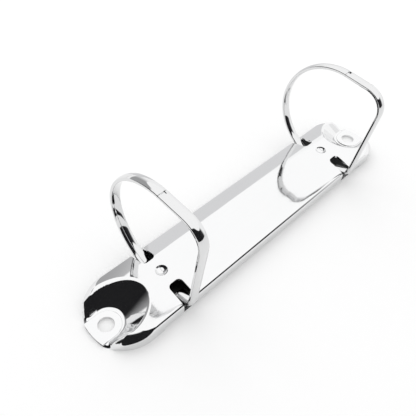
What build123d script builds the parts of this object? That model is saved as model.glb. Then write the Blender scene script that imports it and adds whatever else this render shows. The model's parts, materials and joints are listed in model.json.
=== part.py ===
"""Two-ring binder mechanism: a sprung sheet steel cover, two hinge plates and four half rings."""

import os
from math import asin, atan2, cos, degrees, hypot, radians, sin, sqrt, tan

from build123d import *

# Driving sizes in millimetres and degrees.
# X runs along the cover, the rings open across Y, and Z = 0 is the board that the cover is riveted to.

# Whole mechanism
ring_pitch = 80.0
overrun = 3.0

# Cover: an arched sheet with side walls, and a scooped tab with a rivet hole at each end
cover_length = 131.5
cover_width = 24.8
cover_height = 6.9
arch_radius = 32.0
sheet = 0.7
shoulder_radius = 1.6
end_trim = 0.35
nose_radius = 8.2
nose_margin = 0.05
tab_bulge = 0.6
tab_width = 10.0
rivet_setback = 4.9
rivet_hole_radius = 2.45
seat_width = 9.0
seat_setback = 4.95
seat_rise = 0.3
seat_edge_radius = 0.2

# Rounding of the ends, which is larger than the shoulders and runs out towards the sides
end_round_setback = 13.15
end_round_reach = 7.9
end_round_radius = 6.0
end_round_slope = 30.0

# Scoop: a hollow that runs from the arch down to the tab and widens upwards
scoop_width = 19.7
scoop_tab_setback = 5.4
scoop_top_setback = 9.0
scoop_floor_radius = 0.8
scoop_rim_radius = 1.4

# Slots for the ring feet, and the dimples between them
slot_width = 4.76
slot_inner_reach = 5.2
slot_corner_radius = 1.5
dimple_width = 3.9
dimple_depth = 1.05

# Curled rims that hold the outer edges of the hinge plates
rim_length = 100.0
rim_lip = 1.2
socket_clearance = 0.15

# Hinge plates: two like stampings that meet at a seam under the middle of the arch
plate_length = 94.0
plate_thickness = 1.0
closed_tilt = 2.5
seam_clearance = 0.1
plate_corner_radius = 2.0
tongue_place = 12.0
tongue_width = 6.0
tongue_reach = 1.4
tongue_clearance = 0.25

# Half rings of flat wire
wire_width = 3.2
wire_thickness = 1.5
wire_outer_crown = 0.38
wire_inner_crown = 0.34
wire_edge_radius = 0.3
foot_spread = 7.25
ring_radius = 19.4
ring_lift = 1.6
tip_offset = 2.0
tip_clearance = 0.12
tip_tongue_width = 1.2
tip_tongue_reach = 0.9
tip_tongue_thickness = 0.7
round_foot_bend = 1.2

# The straight half: a sloping top, a leaning leg and a foot that dips through the slot
corner_spread = 17.45
corner_drop = 1.9
corner_radius = 7.0
heel_spread = 13.2
heel_height = 4.4
heel_radius = 1.7
toe_height = 3.1
toe_radius = 1.0

# Tenons under the feet, peened below the plates
tenon_length = 2.4
tenon_thickness = 1.1
tenon_clearance = 0.03
head_length = 3.4
head_width = 2.1
head_height = 0.45
head_edge_radius = 0.2

# Places that follow from the sizes
half_width = cover_width / 2
cover_end = cover_length / 2
rivet_pitch = cover_length - 2 * rivet_setback
side_wall_length = cover_length + 2 * end_trim - cover_width
scoop_tab_centre = cover_end - scoop_tab_setback
scoop_top_centre = cover_end - scoop_top_setback
arch_centre_height = cover_height - arch_radius
nose_height = cover_height - nose_radius
nose_place = side_wall_length / 2 + half_width + nose_margin - sqrt(nose_radius**2 - nose_height**2)
hinge_radius = plate_thickness / 2
socket_radius = hinge_radius + socket_clearance
hinge_spread = half_width - sheet - socket_radius
hinge_height = sheet + socket_radius
tilt = radians(closed_tilt)
plate_reach = sqrt((hinge_spread - seam_clearance) ** 2 - hinge_radius**2)
tenon_reach = (hinge_spread - foot_spread) / cos(tilt)


def place_on_plate(side, x, reach, rise):
    """The point of a closed plate at a reach from its hinge and a rise over its middle."""
    y = hinge_spread - reach * cos(tilt) - rise * sin(tilt)
    z = hinge_height - reach * sin(tilt) + rise * cos(tilt)
    return Vector(x, side * y, z)


def plate_normal(side):
    """The upward normal of a closed plate."""
    return Vector(0, -side * sin(tilt), cos(tilt))


def end_waste(inset):
    """What the rounding of both ends takes off the pressed form."""
    place = cover_end - end_round_setback
    radius = end_round_radius - inset
    slope = radians(end_round_slope)
    top = cover_height + overrun
    across = Plane((place, 0, 0), x_dir=(0, -1, 0), z_dir=(-1, 0, 0))
    with BuildPart() as waste:
        with BuildSketch(across):
            with BuildLine():
                rounding = CenterArc((end_round_reach, 0), radius, 0, 90 - end_round_slope)
                knee = rounding @ 1
                crown_run = (top - knee.Y) / tan(slope)
                rim = cover_width + overrun
                Polyline(knee, (knee.X - crown_run, top), (rim, top), (rim, 0), rounding @ 0)
            make_face()
        revolve(axis=Axis((place, 0, 0), (0, 0, 1)), revolution_arc=180)
        mirror(about=Plane.YZ)
    return waste.part


def pressed_form(inset):
    """The solid inside the cover's outer faces, or inside its inner faces at an inset of one sheet."""
    half = half_width - inset
    radius = arch_radius - inset
    edge_height = arch_centre_height + sqrt(radius**2 - half**2)
    with BuildPart() as form:
        with BuildSketch(Plane.YZ) as section:
            with BuildLine():
                arch = ThreePointArc((-half, edge_height), (0, cover_height - inset), (half, edge_height))
                Polyline(arch @ 1, (half, nose_height), (-half, nose_height), arch @ 0)
            make_face()
        extrude(amount=nose_place, both=True)
        with BuildSketch(Plane.YZ.offset(nose_place)):
            add(section.sketch_local)
        revolve(axis=Axis((nose_place, 0, nose_height), (0, 1, 0)), revolution_arc=90)
        mirror(about=Plane.YZ)
        with BuildSketch():
            SlotOverall(side_wall_length + 2 * half, 2 * half)
        extrude(amount=cover_height, mode=Mode.INTERSECT)
        wing_edges = form.edges().filter_by(GeomType.BSPLINE)
        side_edges = form.edges().filter_by(Axis.X).group_by(Axis.Z)[-1]
        fillet(wing_edges + side_edges, shoulder_radius - inset)
    return form.part


def scoops(inset):
    """The hollows over both tabs, or with an inset the outside of their walls and floors."""
    height = cover_height - sheet
    side_run = (scoop_width - tab_width) / 2 / height
    shift_run = (scoop_tab_centre - scoop_top_centre) / height
    side_wall = inset * hypot(1, side_run)
    ramp_wall = inset * hypot(1, side_run + shift_run)
    floor = sheet if inset == 0 else -overrun
    with BuildPart() as hollow:
        for level in (floor, cover_height + overrun):
            radius = tab_width / 2 + side_run * (level - sheet) + side_wall
            centre = scoop_tab_centre - shift_run * (level - sheet) - (ramp_wall - side_wall)
            with BuildSketch(Plane.XY.offset(level)):
                with BuildLine():
                    round_end = ThreePointArc((centre, -radius), (centre - radius, 0), (centre, radius))
                    open_end = cover_end + overrun
                    Polyline(round_end @ 1, (open_end, radius), (open_end, -radius), round_end @ 0)
                make_face()
        loft(ruled=True)
        if inset == 0:
            floor_edges = hollow.faces().sort_by(Axis.Z)[0].edges()
            fillet(floor_edges.sort_by(Axis.X)[:-1], scoop_floor_radius)
        mirror(about=Plane.YZ)
    return hollow.part


def rivet_seats():
    """The flat seats round the rivet holes, which stand a little proud of the tabs."""
    radius = seat_width / 2
    with BuildPart() as seats:
        with BuildSketch(Plane.XY.offset(sheet)):
            with BuildLine():
                centre = cover_end - seat_setback
                round_end = ThreePointArc((centre, -radius), (centre - radius, 0), (centre, radius))
                open_end = cover_end + overrun
                Polyline(round_end @ 1, (open_end, radius), (open_end, -radius), round_end @ 0)
            make_face()
        extrude(amount=seat_rise)
        fillet(seats.faces().sort_by(Axis.Z)[-1].edges(), seat_edge_radius)
        mirror(about=Plane.YZ)
    return seats.part


dimple_radius = ((dimple_width / 2) ** 2 + dimple_depth**2) / (2 * dimple_depth)
dimple_centre = cover_height - dimple_depth + dimple_radius

outside, inside = pressed_form(0), pressed_form(sheet)
hollows, hollow_walls = scoops(0), scoops(sheet)

with BuildPart() as cavity:
    add(inside)
    add(end_waste(sheet), mode=Mode.SUBTRACT)
    add(hollow_walls, mode=Mode.SUBTRACT)
    with Locations((-ring_pitch / 2, 0, dimple_centre), (ring_pitch / 2, 0, dimple_centre)):
        Sphere(dimple_radius + sheet, mode=Mode.SUBTRACT)

with BuildPart() as cover:
    add(outside)
    add(hollows, mode=Mode.SUBTRACT)
    rims = cover.edges(Select.NEW).filter_by(lambda edge: edge.center().Z > sheet + scoop_floor_radius)
    fillet(rims, scoop_rim_radius)
    add(end_waste(0), mode=Mode.SUBTRACT)
    add(cavity.part, mode=Mode.SUBTRACT)
    add(rivet_seats())
    with Locations((-ring_pitch / 2, 0, dimple_centre), (ring_pitch / 2, 0, dimple_centre)):
        Sphere(dimple_radius, mode=Mode.SUBTRACT)
    # The side walls end at the hinge line, where the curled rims take over.
    with BuildSketch(Plane.XY.offset(hinge_height)):
        Rectangle(rim_length, cover_width + overrun)
    extrude(amount=-hinge_height - overrun, mode=Mode.SUBTRACT)
    with BuildSketch(Plane.YZ):
        with BuildLine():
            outer_curl = CenterArc((hinge_spread, hinge_height), socket_radius + sheet, 0, -90)
            inner_curl = CenterArc((hinge_spread, hinge_height), socket_radius, 0, -90)
            lip_end = hinge_spread - rim_lip
            Polyline(outer_curl @ 1, (lip_end, 0), (lip_end, sheet), inner_curl @ 1)
            Line(inner_curl @ 0, outer_curl @ 0)
        make_face()
        mirror(about=Plane.YZ)
    extrude(amount=rim_length / 2, both=True)
    # The slots run from beside the dimples over the shoulders and down to the rims.
    slot_length = half_width + slot_corner_radius + overrun - slot_inner_reach
    with BuildSketch(Plane.XY.offset(hinge_height)):
        with GridLocations(ring_pitch, 2 * slot_inner_reach + slot_length, 2, 2):
            RectangleRounded(slot_width, slot_length, slot_corner_radius)
    extrude(amount=cover_height, mode=Mode.SUBTRACT)
    # The round ends are trimmed along a slightly bulged line across the tabs.
    with BuildSketch():
        with BuildLine():
            tab_corner = (cover_end - tab_bulge, tab_width / 2)
            trim = TangentArc((cover_end, 0), tab_corner, tangent=(0, 1))
            trim_side = Line(trim @ 1, (cover_end - tab_bulge, half_width + overrun))
            Line(trim_side @ 1, (0, half_width + overrun))
            mirror(about=Plane.XZ)
            mirror(about=Plane.YZ)
        make_face()
    extrude(amount=cover_height, mode=Mode.INTERSECT)
    with Locations((-rivet_pitch / 2, 0, sheet), (rivet_pitch / 2, 0, sheet)):
        Hole(rivet_hole_radius)

os.makedirs("parts", exist_ok=True)
cover.part.label = "cover"
export_step(cover.part, "parts/cover.step")


# The left plate turns on +Y. The right plate is the same stamping turned half a turn about Z.
for name, side in (("left_hinge_plate", 1), ("right_hinge_plate", -1)):
    along = Vector(side, 0, 0)
    hinge = Vector(0, side * hinge_spread, hinge_height)
    section_plane = Plane(hinge, x_dir=plate_normal(side).cross(along), z_dir=along)
    sheet_plane = Plane(hinge, x_dir=along, z_dir=plate_normal(side))
    with BuildPart() as plate:
        with BuildSketch(section_plane):
            with BuildLine():
                seam = Polyline(
                    (0, hinge_radius),
                    (-plate_reach, hinge_radius),
                    (-plate_reach, -hinge_radius),
                    (0, -hinge_radius),
                )
                ThreePointArc(seam @ 1, (hinge_radius, 0), seam @ 0)
            make_face()
        extrude(amount=plate_length / 2, both=True)
        seam_corners = plate.edges().filter_by(Axis((0, 0, 0), plate_normal(side)))
        fillet(seam_corners, plate_corner_radius)
        with BuildSketch(sheet_plane):
            with Locations((tongue_place, -plate_reach)):
                Rectangle(tongue_width, 2 * tongue_reach)
        extrude(amount=hinge_radius, both=True)
        with BuildSketch(sheet_plane):
            with Locations((-tongue_place, -plate_reach)):
                Rectangle(tongue_width + 2 * tongue_clearance, 2 * (tongue_reach + tongue_clearance))
            with Locations((-ring_pitch / 2, -tenon_reach), (ring_pitch / 2, -tenon_reach)):
                SlotOverall(tenon_length + 2 * tenon_clearance, tenon_thickness + 2 * tenon_clearance)
        extrude(amount=overrun, both=True, mode=Mode.SUBTRACT)
    plate.part.label = name
    export_step(plate.part, f"parts/{name}.step")


def tenon(side, x):
    """The tenon that goes through a plate under a ring's foot, with its peened head below."""
    top = place_on_plate(side, x, tenon_reach, hinge_radius)
    under = Plane(top, x_dir=(1, 0, 0), z_dir=-plate_normal(side))
    with BuildPart() as pin:
        with BuildSketch(under):
            SlotOverall(tenon_length, tenon_thickness)
        extrude(amount=plate_thickness)
        with BuildSketch(under.offset(plate_thickness)):
            SlotOverall(head_length, head_width)
        extrude(amount=head_height)
        fillet(pin.faces().sort_by(Axis.Z)[0].edges(), head_edge_radius)
    return pin.part


def wire_section():
    """The section of the wire, with crowned faces and rounded edges."""
    side = wire_width / 2
    face = wire_thickness / 2
    with BuildSketch() as section:
        with BuildLine():
            outer_edge = face - wire_outer_crown
            inner_edge = wire_inner_crown - face
            outer = ThreePointArc((-side, outer_edge), (0, face), (side, outer_edge))
            inner = ThreePointArc((-side, inner_edge), (0, -face), (side, inner_edge))
            Line(outer @ 0, inner @ 0)
            Line(outer @ 1, inner @ 1)
        make_face()
        fillet(section.vertices(), wire_edge_radius)
    return section.sketch


ring_centre_height = ring_radius + ring_lift
tip_angle = asin(tip_offset / ring_radius)
tip_height = ring_centre_height + ring_radius * cos(tip_angle)
corner_height = tip_height - corner_drop
tip_run = Vector(0, -cos(tip_angle), -sin(tip_angle))

for end, x in (("near", -ring_pitch / 2), ("far", ring_pitch / 2)):
    tip = Vector(x, -tip_offset, tip_height)
    tip_plane = Plane(tip, x_dir=(1, 0, 0), z_dir=tip_run)

    # The round half is an arc from its tip to a bend that turns it down on to the left plate.
    foot = place_on_plate(1, x, tenon_reach, hinge_radius)
    outward = Vector(0, cos(tilt), sin(tilt))
    from_centre = foot + outward * round_foot_bend - Vector(x, 0, ring_centre_height)
    climb = from_centre.dot(plate_normal(1))
    bend_distance = ring_radius + round_foot_bend
    bend_rise = -climb - sqrt(climb**2 - from_centre.length**2 + bend_distance**2)
    bend_centre = from_centre + plate_normal(1) * bend_rise
    bend_angle = degrees(atan2(bend_centre.Z, bend_centre.Y))
    tip_turn = 90 + degrees(tip_angle)
    left_tenon = tenon(1, x)
    with BuildPart() as round_half:
        with BuildLine(Plane.YZ.offset(x)) as path:
            hoop = CenterArc((0, ring_centre_height), ring_radius, tip_turn, bend_angle - tip_turn)
            ankle = JernArc(hoop @ 1, hoop % 1, round_foot_bend, closed_tilt - bend_angle)
            Line(ankle @ 1, foot)
        with BuildSketch(tip_plane):
            add(wire_section())
        sweep(path=path.wires()[0])
        with BuildSketch(tip_plane):
            Rectangle(tip_tongue_width, tip_tongue_thickness)
        extrude(amount=tip_tongue_reach)
        add(left_tenon)
    round_half.part.label = f"{end}_round_half_ring"
    export_step(round_half.part, f"parts/{end}_round_half_ring.step")

    # The straight half runs from the tip to the corner, down the leg and in along the foot.
    foot = place_on_plate(-1, x, tenon_reach, hinge_radius)
    toe = foot + plate_normal(-1) * (toe_height - foot.Z)
    start = tip + tip_run * tip_clearance
    right_tenon = tenon(-1, x)
    with BuildPart() as straight_half:
        with BuildLine(Plane.YZ.offset(x)) as path:
            FilletPolyline(
                start,
                Vector(x, -corner_spread, corner_height),
                Vector(x, -heel_spread, heel_height),
                toe,
                foot,
                radius=(corner_radius, heel_radius, toe_radius),
            )
        with BuildSketch(Plane(start, x_dir=(1, 0, 0), z_dir=path.wires()[0] % 0)):
            add(wire_section())
        sweep(path=path.wires()[0])
        with BuildSketch(tip_plane):
            Rectangle(tip_tongue_width + 2 * tip_clearance, wire_thickness + overrun)
        extrude(amount=tip_tongue_reach + tip_clearance, mode=Mode.SUBTRACT)
        add(right_tenon)
    straight_half.part.label = f"{end}_straight_half_ring"
    export_step(straight_half.part, f"parts/{end}_straight_half_ring.step")
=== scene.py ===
# %% [markdown]
# # A ring binder mechanism, dressed for its picture
#
# The real thing is a small sheet-metal assembly: a sprung, arched cover, two hinge plates
# hidden under it, and two rings of flat wire, each made of a round half and a straight half.
# All of it is bright plated steel. The shapes come from the CAD model, which is loaded first and
# stays where it is. Blender adds what CAD doesn't have: finishes, light and a camera.

# %% Load the CAD frame
import json
import math

import bpy
from mathutils import Matrix, Vector


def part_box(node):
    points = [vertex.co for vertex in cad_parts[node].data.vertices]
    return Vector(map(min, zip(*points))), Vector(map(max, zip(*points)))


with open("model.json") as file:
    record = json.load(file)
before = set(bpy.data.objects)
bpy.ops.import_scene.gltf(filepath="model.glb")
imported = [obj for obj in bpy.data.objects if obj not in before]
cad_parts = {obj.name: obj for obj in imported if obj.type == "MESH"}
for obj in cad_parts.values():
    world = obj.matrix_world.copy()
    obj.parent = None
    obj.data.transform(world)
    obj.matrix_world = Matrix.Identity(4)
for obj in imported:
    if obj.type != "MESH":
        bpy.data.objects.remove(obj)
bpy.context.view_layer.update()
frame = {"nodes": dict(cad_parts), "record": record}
nodes = frame["nodes"]
scene = bpy.context.scene
scene.view_settings.view_transform = "Standard"
for name in sorted(nodes):
    low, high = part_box(name)
    print(name, "spans", [round((high[i] - low[i]) * 1000, 1) for i in range(3)], "mm")

# %% [markdown]
# ## The camera
#
# A picture of a small object is taken from close by, so its far ring looks plainly smaller than
# its near one. That strength of perspective fixes the distance, and so the camera can't be placed
# by eye from far off with a long lens. Here its place, the point of the table that it looks at,
# its small roll and its lens were solved from the two rings, which stand 80 mm apart.

# %% Place the camera
camera_place = Vector((-0.09058, -0.06372, 0.12146))
looked_at = Vector((-0.00769, 0.01248, 0.0))
camera_roll = math.radians(3.106)

camera_data = bpy.data.cameras.new("camera")
camera_data.sensor_width = 36.0
camera_data.lens = 40.844
camera_data.clip_start = 0.005
camera = bpy.data.objects.new("camera", camera_data)
scene.collection.objects.link(camera)
aim = (looked_at - camera_place).to_track_quat("-Z", "Y").to_matrix().to_4x4()
camera.matrix_world = Matrix.Translation(camera_place) @ aim @ Matrix.Rotation(camera_roll, 4, "Z")
scene.camera = camera
print("camera stands", round((looked_at - camera_place).length * 1000), "mm from its target")

# %% [markdown]
# ## Small helpers for node trees
#
# Every finish below is a handful of shader nodes. Making a node, setting its sockets and wiring it
# takes several lines each time, so one helper does it: it takes the node's kind and a dictionary
# of socket name or number to either a plain value or another node's output. Three more helpers
# stand for what the studio needs again and again: a soft step from 0 to 1, a blend of two colours,
# and the larger of two values.

# %% Node helpers
def add_node(tree, kind, sockets=None, **settings):
    node = tree.nodes.new(kind)
    for setting, value in settings.items():
        setattr(node, setting, value)
    for socket, value in (sockets or {}).items():
        if isinstance(value, bpy.types.NodeSocket):
            tree.links.new(value, node.inputs[socket])
        else:
            node.inputs[socket].default_value = value
    return node


def soft_step(tree, value, start, end):
    sockets = {"Value": value, "From Min": start, "From Max": end}
    return add_node(tree, "ShaderNodeMapRange", sockets, interpolation_type="SMOOTHSTEP").outputs[0]


def blend(tree, share, colour_at_0, colour_at_1):
    sockets = {"Factor": share, "A": colour_at_0, "B": colour_at_1}
    return add_node(tree, "ShaderNodeMix", sockets, data_type="RGBA").outputs["Result"]


def larger(tree, value, other):
    return add_node(tree, "ShaderNodeMath", {0: value, 1: other}, operation="MAXIMUM").outputs[0]


def blank_tree(owner):
    owner.use_nodes = True
    owner.node_tree.nodes.clear()
    return owner.node_tree


print("helpers ready")

# %% [markdown]
# ## The studio round the metal
#
# Polished plating has almost no colour of its own: it shows the room. A catalogue picture like
# this one is taken in a white tent with dark card standing round the table, so that the white
# metal gets black lines along its bends and its form can be read. Real cards could be modelled as
# planes all round, but a room that is painted in the world's nodes, by direction, is quicker to
# change: white overhead, dark below a certain height, a higher dark part on the near side, a grey
# part on the left, and a white backdrop straight behind the far end.

# %% Heights of the painted cards
white = (1.0, 1.0, 1.0, 1.0)
paper_white = (0.95, 0.95, 0.95, 1.0)
side_card_top = 0.5
near_card_top = 0.79
card_edge = 0.025

world = bpy.data.worlds.new("white_tent")
scene.world = world
tree = blank_tree(world)
way = add_node(tree, "ShaderNodeTexCoord").outputs["Generated"]
height = add_node(tree, "ShaderNodeSeparateXYZ", {0: way}).outputs["Z"]
level_way = add_node(tree, "ShaderNodeVectorMath", {0: way, 1: (1.0, 1.0, 0.0)},
                     operation="MULTIPLY").outputs[0]
compass = add_node(tree, "ShaderNodeVectorMath", {0: level_way}, operation="NORMALIZE").outputs[0]
eastward = add_node(tree, "ShaderNodeSeparateXYZ", {0: compass}).outputs["X"]

near_share = soft_step(tree, eastward, 0.55, -0.1)
card_top = add_node(tree, "ShaderNodeMapRange",
                    {"Value": near_share, "To Min": side_card_top, "To Max": near_card_top}).outputs[0]
above_card = add_node(tree, "ShaderNodeMath", {0: height, 1: card_top}, operation="SUBTRACT").outputs[0]
tent_share = soft_step(tree, above_card, -card_edge, card_edge)
print("cards reach", round(math.degrees(math.asin(side_card_top))), "degrees up at the sides and",
      round(math.degrees(math.asin(near_card_top))), "on the near side")

# %% Colours of the painted cards
left_way = (0.35, 0.937, 0.0)
left_facing = add_node(tree, "ShaderNodeVectorMath", {0: compass, 1: left_way},
                       operation="DOT_PRODUCT").outputs["Value"]
left_share = soft_step(tree, left_facing, 0.42, 0.9)
far_share = soft_step(tree, eastward, 0.25, 0.6)
paper_rise = soft_step(tree, height, 0.14, 0.08)
backdrop_share = soft_step(tree, eastward, 0.6, 0.8)

left_card = blend(tree, far_share, (0.36, 0.36, 0.365, 1.0), paper_white)
right_card = blend(tree, far_share, (0.012, 0.012, 0.013, 1.0), (0.03, 0.03, 0.032, 1.0))
left_side = blend(tree, paper_rise, left_card, paper_white)
card_colour = blend(tree, left_share, right_card, left_side)
low_room = blend(tree, backdrop_share, card_colour, paper_white)
room_colour = blend(tree, tent_share, low_room, white)
print("room painted by direction:", len(tree.nodes), "nodes so far")

# %% [markdown]
# The painted room is for what the metal mirrors. The camera itself sees plain white behind the
# table, and matt surfaces get an even, softer light from all round. The Light Path node tells
# which kind of ray is asking, so one world gives all three answers.

# %% Three answers from one world
mirrored_room = add_node(tree, "ShaderNodeBackground", {"Color": room_colour, "Strength": 1.2})
even_fill = add_node(tree, "ShaderNodeBackground", {"Color": white, "Strength": 0.95})
white_behind = add_node(tree, "ShaderNodeBackground", {"Color": white, "Strength": 1.0})
asking = add_node(tree, "ShaderNodeLightPath").outputs
straight_on = larger(tree, asking["Is Camera Ray"], asking["Is Transmission Ray"])
fill_or_room = add_node(tree, "ShaderNodeMixShader",
                        {0: asking["Is Glossy Ray"], 1: even_fill.outputs[0], 2: mirrored_room.outputs[0]})
all_rays = add_node(tree, "ShaderNodeMixShader",
                    {0: straight_on, 1: fill_or_room.outputs[0], 2: white_behind.outputs[0]})
add_node(tree, "ShaderNodeOutputWorld", {"Surface": all_rays.outputs[0]})
print("world has", len(tree.nodes), "nodes")

# %% [markdown]
# ## The table
#
# The mechanism lies on white paper that runs out of the picture on every side. A flat square is
# enough. Paper lit at a plain level would come out light grey, and more lamp light would burn out
# the metal, so the paper adds a little white of its own, but only for the camera and for mirrored
# rays. The rest of its brightness is real light, and that part carries the soft shadow.

# %% Paper table
table_half = 2.5
table_mesh = bpy.data.meshes.new("paper_table")
table_mesh.from_pydata([(-table_half, -table_half, 0.0), (table_half, -table_half, 0.0),
                        (table_half, table_half, 0.0), (-table_half, table_half, 0.0)], [], [(0, 1, 2, 3)])
paper_table = bpy.data.objects.new("paper_table", table_mesh)
scene.collection.objects.link(paper_table)

paper_own_white = 0.12
paper = bpy.data.materials.new("white_paper")
tree = blank_tree(paper)
asking = add_node(tree, "ShaderNodeLightPath").outputs
straight_on = larger(tree, asking["Is Camera Ray"], asking["Is Transmission Ray"])
seen = larger(tree, straight_on, asking["Is Glossy Ray"])
own_white = add_node(tree, "ShaderNodeMath", {0: seen, 1: paper_own_white}, operation="MULTIPLY")
paper_light = add_node(tree, "ShaderNodeEmission", {"Color": white, "Strength": own_white.outputs[0]})
paper_matt = add_node(tree, "ShaderNodeBsdfDiffuse", {"Color": (0.8, 0.8, 0.8, 1.0)})
paper_both = add_node(tree, "ShaderNodeAddShader", {0: paper_matt.outputs[0], 1: paper_light.outputs[0]})
add_node(tree, "ShaderNodeOutputMaterial", {"Surface": paper_both.outputs[0]})
table_mesh.materials.append(paper)
print("table is", table_half * 2, "m wide")

# %% [markdown]
# ## A low card beside the round side
#
# The long grey band on the arch is the mirror image of a card. The tops of the rings hardly show
# it, because they stand higher than the arch and look over it. A room painted by direction is
# endlessly far away and looks the same from both, so this one card is a real plane, close by.
# Only mirrored rays see it, so it neither shades the paper nor gets into the picture.

# %% Grey card
card_away, card_low, card_high = 0.062, 0.012, 0.051
card_near_end, card_far_end = -0.015, 0.35
card_mesh = bpy.data.meshes.new("grey_card")
card_mesh.from_pydata([(card_near_end, card_away, card_low), (card_far_end, card_away, card_low),
                       (card_far_end, card_away, card_high), (card_near_end, card_away, card_high)],
                      [], [(0, 1, 2, 3)])
grey_card = bpy.data.objects.new("grey_card", card_mesh)
scene.collection.objects.link(grey_card)
grey_card.visible_camera = False
grey_card.visible_diffuse = False
grey_card.visible_shadow = False
grey_card.visible_transmission = False

card_paint = bpy.data.materials.new("grey_card_paint")
tree = blank_tree(card_paint)
card_grey = add_node(tree, "ShaderNodeEmission", {"Color": (0.8, 0.8, 0.81, 1.0), "Strength": 1.0})
add_node(tree, "ShaderNodeOutputMaterial", {"Surface": card_grey.outputs[0]})
card_mesh.materials.append(card_paint)
print("card stands", round(card_away * 1000), "mm from the middle of the cover")

# %% [markdown]
# ## One soft lamp
#
# The shadow in the picture is faint and lies on the straight side of the rings, so the light comes
# from high up on the round side. One large area lamp gives that. It is hidden from mirrored rays,
# because the plating already mirrors the painted room, and a second bright patch would confuse it.

# %% Lamp over the round side
lamp_data = bpy.data.lights.new("soft_lamp", "AREA")
lamp_data.shape = "DISK"
lamp_data.size = 0.9
lamp_data.energy = 1.6
soft_lamp = bpy.data.objects.new("soft_lamp", lamp_data)
lamp_place = Vector((0.16, 0.42, 0.62))
soft_lamp.matrix_world = (Matrix.Translation(lamp_place)
                          @ (-lamp_place).to_track_quat("-Z", "Y").to_matrix().to_4x4())
scene.collection.objects.link(soft_lamp)
soft_lamp.visible_glossy = False
print("lamp is", round(lamp_place.length, 2), "m away")

# %% [markdown]
# ## Bright plating
#
# The cover and rings are nickel plated over polished steel. A perfect mirror would look like a
# computer picture. Real plating has three small faults: a slow waviness from the pressing, a fine
# grain from polishing that follows the length of the strip, and faint hazy patches from handling.
# The first is bump, the second and third are roughness and a very small change of colour.

# %% Plating material
dull_share = 0.965


def bright_plating(name, colour, lowest_roughness, highest_roughness, grain_stretch, wave_depth):
    plating = bpy.data.materials.new(name)
    tree = blank_tree(plating)
    place = add_node(tree, "ShaderNodeTexCoord").outputs["Object"]

    haze = add_node(tree, "ShaderNodeTexNoise",
                    {"Vector": place, "Scale": 90.0, "Detail": 4.0, "Roughness": 0.6})
    along = add_node(tree, "ShaderNodeMapping", {"Vector": place, "Scale": grain_stretch})
    grain = add_node(tree, "ShaderNodeTexNoise",
                     {"Vector": along.outputs[0], "Scale": 1.0, "Detail": 3.0, "Roughness": 0.7})
    worn = add_node(tree, "ShaderNodeMix",
                    {"Factor": 0.45, "A": haze.outputs["Fac"], "B": grain.outputs["Fac"]}, data_type="FLOAT")
    gloss = add_node(tree, "ShaderNodeMapRange",
                     {"Value": worn.outputs[0], "From Min": 0.3, "From Max": 0.7,
                      "To Min": lowest_roughness, "To Max": highest_roughness})

    dull = tuple(dull_share * part for part in colour)
    tint = blend(tree, worn.outputs[0], (*colour, 1.0), (*dull, 1.0))

    waves = add_node(tree, "ShaderNodeTexNoise", {"Vector": place, "Scale": 110.0, "Detail": 1.0})
    wavy = add_node(tree, "ShaderNodeBump",
                    {"Height": waves.outputs["Fac"], "Strength": 0.5, "Distance": wave_depth})
    grained = add_node(tree, "ShaderNodeBump",
                       {"Height": grain.outputs["Fac"], "Strength": 0.15, "Distance": 0.000004,
                        "Normal": wavy.outputs[0]})
    metal = add_node(tree, "ShaderNodeBsdfPrincipled",
                     {"Metallic": 1.0, "Base Color": tint, "Roughness": gloss.outputs[0],
                      "Normal": grained.outputs[0]})
    add_node(tree, "ShaderNodeOutputMaterial", {"Surface": metal.outputs[0]})
    return plating


cover_plating = bright_plating("cover_plating_bright", (0.81, 0.812, 0.815), 0.03, 0.09,
                               (60.0, 1800.0, 1800.0), 0.00004)
ring_plating = bright_plating("ring_plating_bright", (0.74, 0.742, 0.745), 0.03, 0.08,
                              (2600.0, 300.0, 300.0), 0.00002)
print("plating made for cover and rings")

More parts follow.
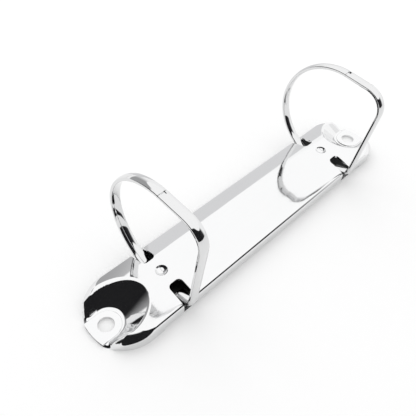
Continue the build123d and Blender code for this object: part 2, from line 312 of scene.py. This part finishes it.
# %% [markdown]
# ## Plain steel of the hinge plates, darkened as painted shade
#
# The plates are hidden under the arch, so they are only zinc-washed strip as it left the rolls,
# with streaks along the strip. Their grey is set very dark, as painted shade for the hollow under
# the arch. Stretching a noise along X gives the streaks, which move the roughness, the tone and a
# little bump together, because on the real sheet they are the same scratches.

# %% Plate material, darkened as painted shade
plate_steel = bpy.data.materials.new("plate_steel_painted_shade")
tree = blank_tree(plate_steel)
place = add_node(tree, "ShaderNodeTexCoord").outputs["Object"]
along = add_node(tree, "ShaderNodeMapping", {"Vector": place, "Scale": (40.0, 2200.0, 900.0)})
streaks = add_node(tree, "ShaderNodeTexNoise",
                   {"Vector": along.outputs[0], "Scale": 1.0, "Detail": 5.0, "Roughness": 0.65})
patches = add_node(tree, "ShaderNodeTexNoise", {"Vector": place, "Scale": 160.0, "Detail": 3.0})
both = add_node(tree, "ShaderNodeMix",
                {"Factor": 0.35, "A": streaks.outputs["Fac"], "B": patches.outputs["Fac"]}, data_type="FLOAT")
# The tone runs from 0.13 to 0.25, very dark: painted shade for the hollow under the arch; the spread within
# it follows the strip's own streaks.
tone = blend(tree, both.outputs[0], (0.13, 0.132, 0.136, 1.0), (0.25, 0.253, 0.258, 1.0))
satin = add_node(tree, "ShaderNodeMapRange", {"Value": both.outputs[0], "To Min": 0.24, "To Max": 0.46})
ridges = add_node(tree, "ShaderNodeBump",
                  {"Height": streaks.outputs["Fac"], "Strength": 0.4, "Distance": 0.00001})
metal = add_node(tree, "ShaderNodeBsdfPrincipled",
                 {"Metallic": 1.0, "Base Color": tone, "Roughness": satin.outputs[0],
                  "Normal": ridges.outputs[0]})
add_node(tree, "ShaderNodeOutputMaterial", {"Surface": metal.outputs[0]})
print("plate steel has", len(tree.nodes), "nodes")

# %% [markdown]
# ## Which piece gets which finish
#
# Cover, rings and plates are plated or left plain before they are put together, so each piece has
# one finish all over. It could be given by hand, piece by piece. The part's record already says
# which finish a piece has, so a loop reads it there.

# %% Give each CAD piece its finish
finish_of_slot = {"cover_plating": cover_plating, "ring_plating": ring_plating, "plate_steel": plate_steel}
for subpart in frame["record"]["subparts"]:
    piece = nodes[subpart["node"]]
    finish = finish_of_slot[subpart["material_slot"]]
    if not piece.data.materials:
        piece.data.materials.append(finish)
    for place_in_list in range(len(piece.material_slots)):
        piece.material_slots[place_in_list].material = finish
    print(piece.name, "takes", finish.name)
